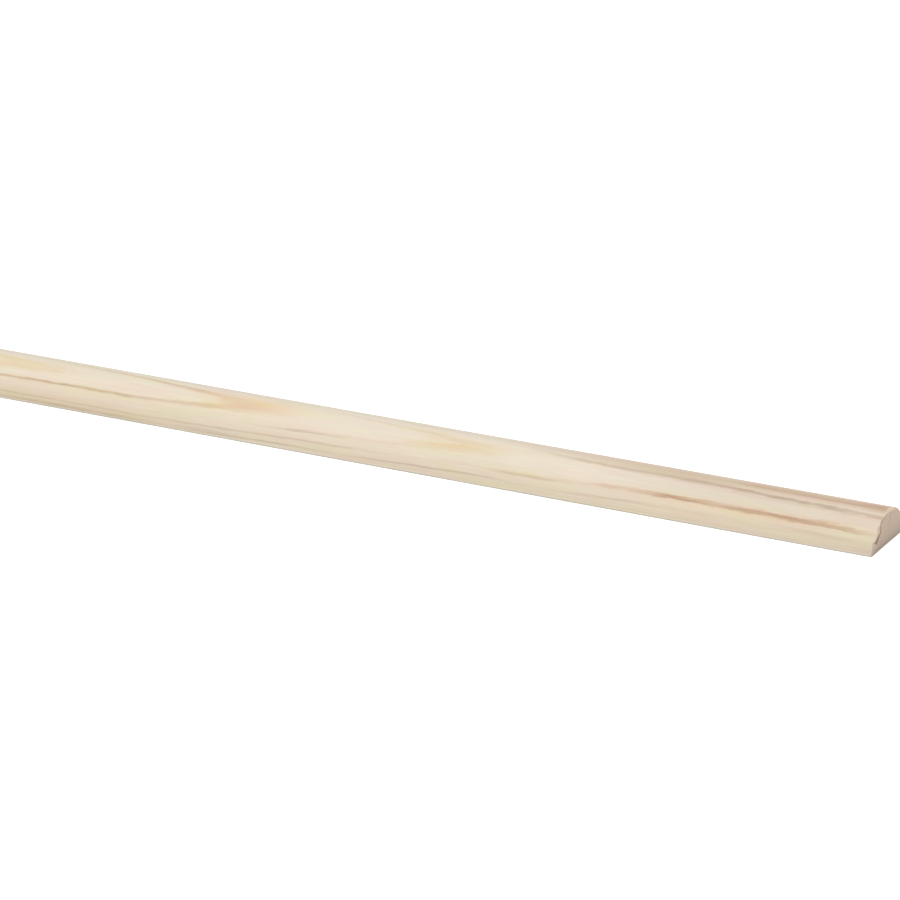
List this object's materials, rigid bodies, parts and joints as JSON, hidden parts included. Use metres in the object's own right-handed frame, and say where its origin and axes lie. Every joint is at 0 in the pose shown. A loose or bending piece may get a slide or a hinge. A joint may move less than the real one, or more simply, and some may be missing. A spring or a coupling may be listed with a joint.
{
  "type": "half-round moulding",
  "caption": "Straight softwood trim stick with a half-round face on a flat back and square-sawn ends, for covering joints and edging panels.",
  "frame": {"origin": "centre of the flat back, half way along the length", "axes": "+X along the length towards the sawn end that the picture shows, +Y across the width, +Z out of the rounded face, away from the flat back"},
  "size_m": [1, 0.021, 0.009],
  "materials": {
    "pine": "planed, unfinished"
  },
  "bodies": {
    "root": {"half_round_moulding": "pine"}
  },
  "joints": []
}
